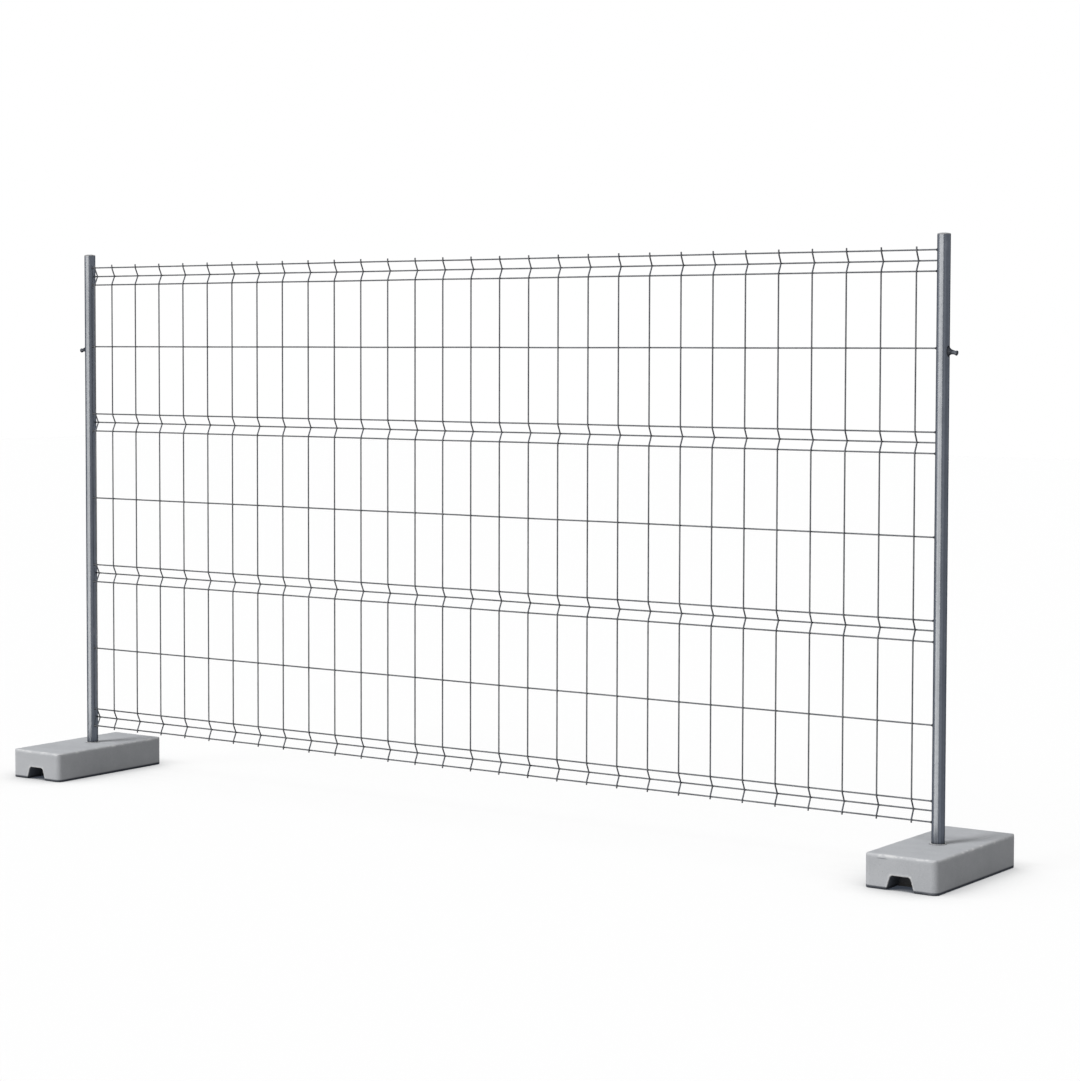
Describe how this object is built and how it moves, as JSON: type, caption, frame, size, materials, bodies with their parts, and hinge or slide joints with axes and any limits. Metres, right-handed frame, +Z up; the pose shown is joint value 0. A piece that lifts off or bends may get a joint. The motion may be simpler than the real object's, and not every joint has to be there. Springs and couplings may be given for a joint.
{
  "type": "temporary fence panel",
  "caption": "Site fence panel: folded welded-wire mesh between two capped tube posts with coupling pegs, each post standing in a lift-off concrete foot.",
  "frame": {"origin": "on the ground, midway between the two posts", "axes": "+X along the panel towards the right post, +Y to the rear, the side that the fold crests point to, +Z up"},
  "size_m": [3.88, 0.6104, 1.9996],
  "materials": {
    "galvanised_tube": "satin",
    "galvanised_wire": "satin",
    "galvanised_peg": "satin",
    "concrete": "matte",
    "cap_plastic": "matte",
    "sleeve_plastic": "matte"
  },
  "bodies": {
    "panel": {"left_post": "galvanised_tube", "right_post": "galvanised_tube", "left_post_cap": "cap_plastic", "right_post_cap": "cap_plastic", "left_peg": "galvanised_peg", "right_peg": "galvanised_peg", "fold_wire_1": "galvanised_wire", "fold_wire_2": "galvanised_wire", "fold_wire_3": "galvanised_wire", "fold_wire_4": "galvanised_wire", "fold_wire_5": "galvanised_wire", "fold_wire_6": "galvanised_wire", "fold_wire_7": "galvanised_wire", "fold_wire_8": "galvanised_wire", "fold_wire_9": "galvanised_wire", "fold_wire_10": "galvanised_wire", "fold_wire_11": "galvanised_wire", "fold_wire_12": "galvanised_wire", "bay_wire_1": "galvanised_wire", "bay_wire_2": "galvanised_wire", "bay_wire_3": "galvanised_wire", "edge_upright": "galvanised_wire", "upright_wire_1": "galvanised_wire", "upright_wire_2": "galvanised_wire", "upright_wire_3": "galvanised_wire", "upright_wire_4": "galvanised_wire", "upright_wire_5": "galvanised_wire", "upright_wire_6": "galvanised_wire", "upright_wire_7": "galvanised_wire", "upright_wire_8": "galvanised_wire", "upright_wire_9": "galvanised_wire", "upright_wire_10": "galvanised_wire", "upright_wire_11": "galvanised_wire", "upright_wire_12": "galvanised_wire", "upright_wire_13": "galvanised_wire", "upright_wire_14": "galvanised_wire", "upright_wire_15": "galvanised_wire", "upright_wire_16": "galvanised_wire", "upright_wire_17": "galvanised_wire", "upright_wire_18": "galvanised_wire", "upright_wire_19": "galvanised_wire", "upright_wire_20": "galvanised_wire", "upright_wire_21": "galvanised_wire", "upright_wire_22": "galvanised_wire", "upright_wire_23": "galvanised_wire", "upright_wire_24": "galvanised_wire", "upright_wire_25": "galvanised_wire", "upright_wire_26": "galvanised_wire", "upright_wire_27": "galvanised_wire", "upright_wire_28": "galvanised_wire", "upright_wire_29": "galvanised_wire"},
    "left_sleeve": {"left_sleeve": "sleeve_plastic"},
    "left_foot": {"left_foot": "concrete"},
    "right_sleeve": {"right_sleeve": "sleeve_plastic"},
    "right_foot": {"right_foot": "concrete"}
  },
  "joints": [
    {"name": "left_lift", "type": "slide", "parent": "panel", "child": "left_sleeve", "axis": [0, 0, -1], "range_m": [0, 0.16]},
    {"name": "left_turn", "type": "hinge", "parent": "left_sleeve", "child": "left_foot", "pos_m": [-1.815, 0, 0.054], "axis": [0, 0, 1], "continuous": true},
    {"name": "right_lift", "type": "slide", "parent": "panel", "child": "right_sleeve", "axis": [0, 0, -1], "range_m": [0, 0.16]},
    {"name": "right_turn", "type": "hinge", "parent": "right_sleeve", "child": "right_foot", "pos_m": [1.815, 0, 0.054], "axis": [0, 0, 1], "continuous": true}
  ]
}
